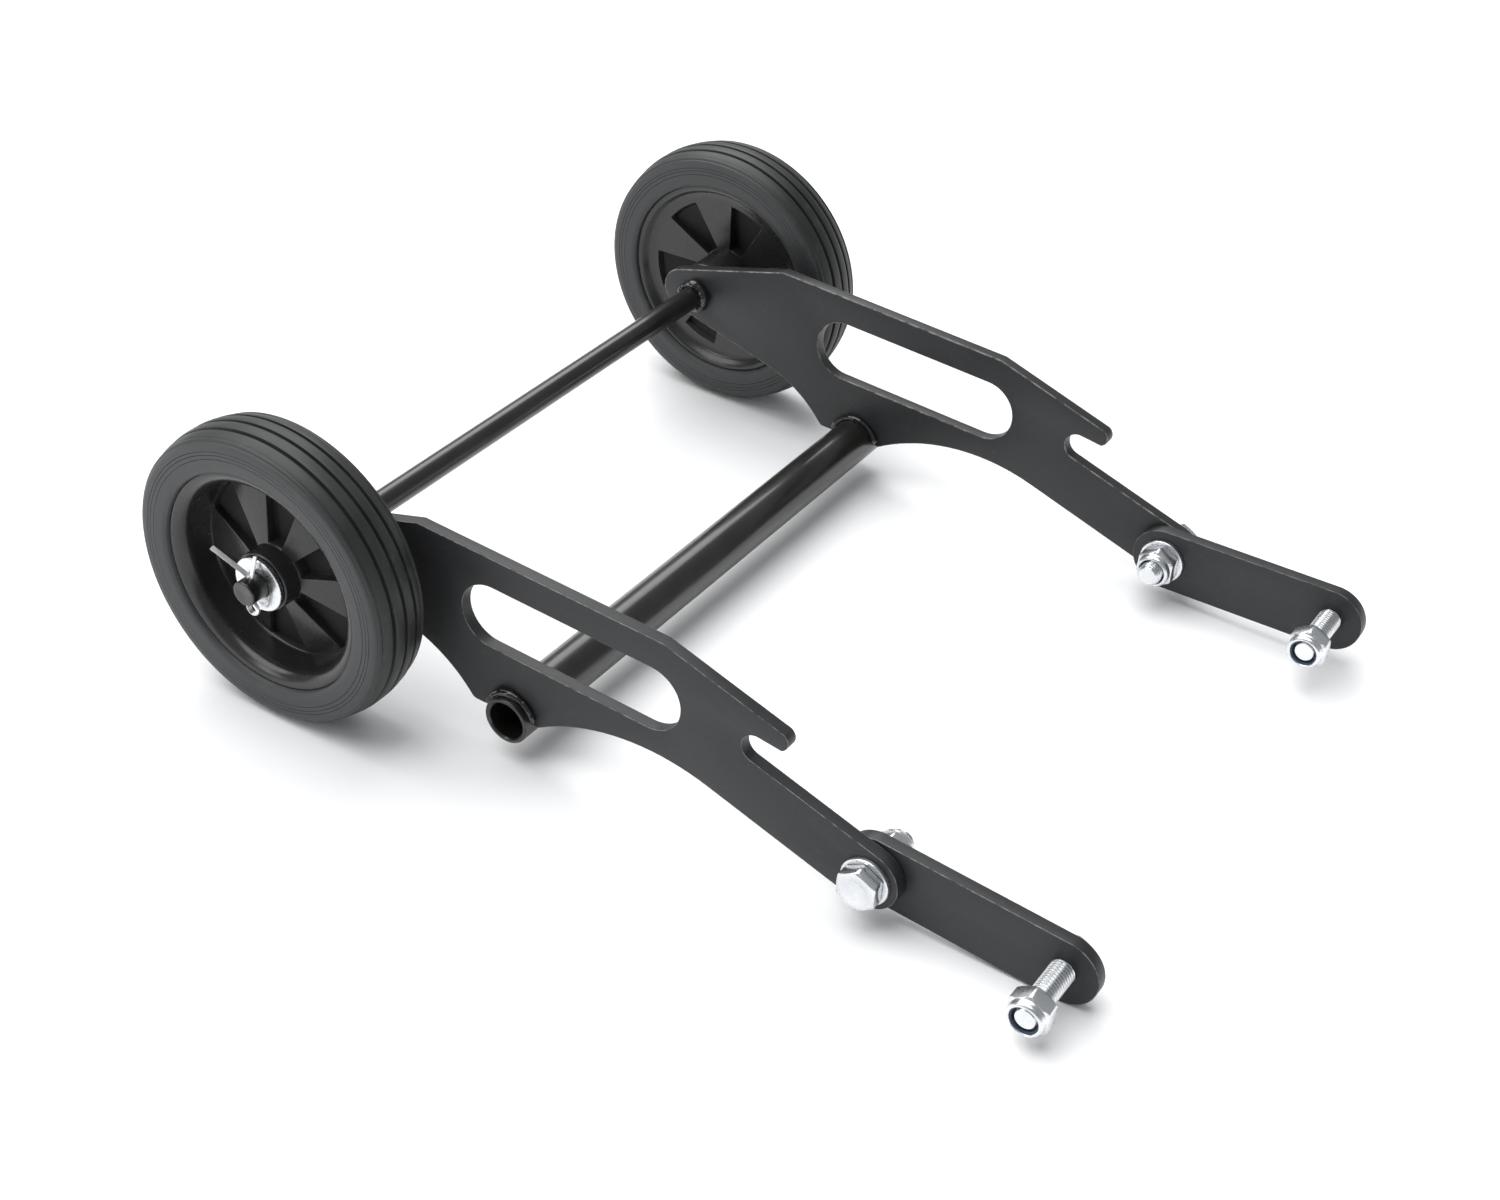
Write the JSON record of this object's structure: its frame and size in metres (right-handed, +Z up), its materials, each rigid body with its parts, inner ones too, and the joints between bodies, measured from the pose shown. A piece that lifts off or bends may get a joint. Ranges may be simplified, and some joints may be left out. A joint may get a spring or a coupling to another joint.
{
  "type": "two-wheel transport kit",
  "caption": "Wheels on an axle between two slotted hook plates joined by a cross tube, with swinging links that end in bolts.",
  "frame": {"origin": "on the floor, under the middle of the kit's overall box", "axes": "+Z up, +Y from the axle towards the links, +X along the axle towards the right wheel"},
  "size_m": [0.428, 0.4886, 0.152],
  "materials": {
    "plate_paint": "satin black powder coat, finely pebbled",
    "tube_paint": "gloss black paint",
    "weld_paint": "gloss black paint over rippled weld",
    "tyre_rubber": "matt solid rubber, faintly chalky",
    "hub_plastic": "gloss moulded black plastic",
    "zinc": "bright zinc plate, lightly grained",
    "pin_steel": "plain bright drawn wire",
    "nylon": "dark blue nylon"
  },
  "bodies": {
    "frame": {"right_side_plate": "plate_paint", "left_side_plate": "plate_paint", "cross_tube": "tube_paint", "axle": "tube_paint", "axle_welds": "weld_paint", "cross_tube_welds": "weld_paint", "pivot_bolts": "zinc", "pivot_outer_washers": "zinc", "pivot_inner_washers": "zinc", "pivot_lock_nuts": "zinc", "pivot_nut_rings": "nylon", "axle_washers": "zinc", "split_pins": "pin_steel"},
    "right_wheel": {"right_wheel_tyre": "tyre_rubber", "right_hub_rim": "hub_plastic", "right_hub_web": "hub_plastic", "right_hub_boss": "hub_plastic"},
    "left_wheel": {"left_wheel_tyre": "tyre_rubber", "left_hub_rim": "hub_plastic", "left_hub_web": "hub_plastic", "left_hub_boss": "hub_plastic"},
    "right_link": {"right_link": "plate_paint", "right_end_bolt": "zinc"},
    "left_link": {"left_link": "plate_paint", "left_end_bolt": "zinc"},
    "right_nut": {"right_end_nut": "zinc", "right_end_nut_ring": "nylon"},
    "left_nut": {"left_end_nut": "zinc", "left_end_nut_ring": "nylon"}
  },
  "joints": [
    {"name": "right_wheel_spin", "type": "hinge", "parent": "frame", "child": "right_wheel", "pos_m": [0.189, -0.16829, 0.076], "axis": [1, 0, 0], "continuous": true},
    {"name": "left_wheel_spin", "type": "hinge", "parent": "frame", "child": "left_wheel", "pos_m": [-0.189, -0.16829, 0.076], "axis": [1, 0, 0], "continuous": true},
    {"name": "right_link_swing", "type": "hinge", "parent": "frame", "child": "right_link", "pos_m": [0.14768, 0.13531, 0.0242], "axis": [1, 0, 0], "range_deg": [-165, 120]},
    {"name": "left_link_swing", "type": "hinge", "parent": "frame", "child": "left_link", "pos_m": [-0.14768, 0.13531, 0.0242], "axis": [1, 0, 0], "range_deg": [-165, 120]},
    {"name": "right_nut_travel", "type": "slide", "parent": "right_link", "child": "right_nut", "axis": [1, 0, 0], "range_m": [0, 0.045]},
    {"name": "left_nut_travel", "type": "slide", "parent": "left_link", "child": "left_nut", "axis": [1, 0, 0], "range_m": [0, 0.045]}
  ]
}
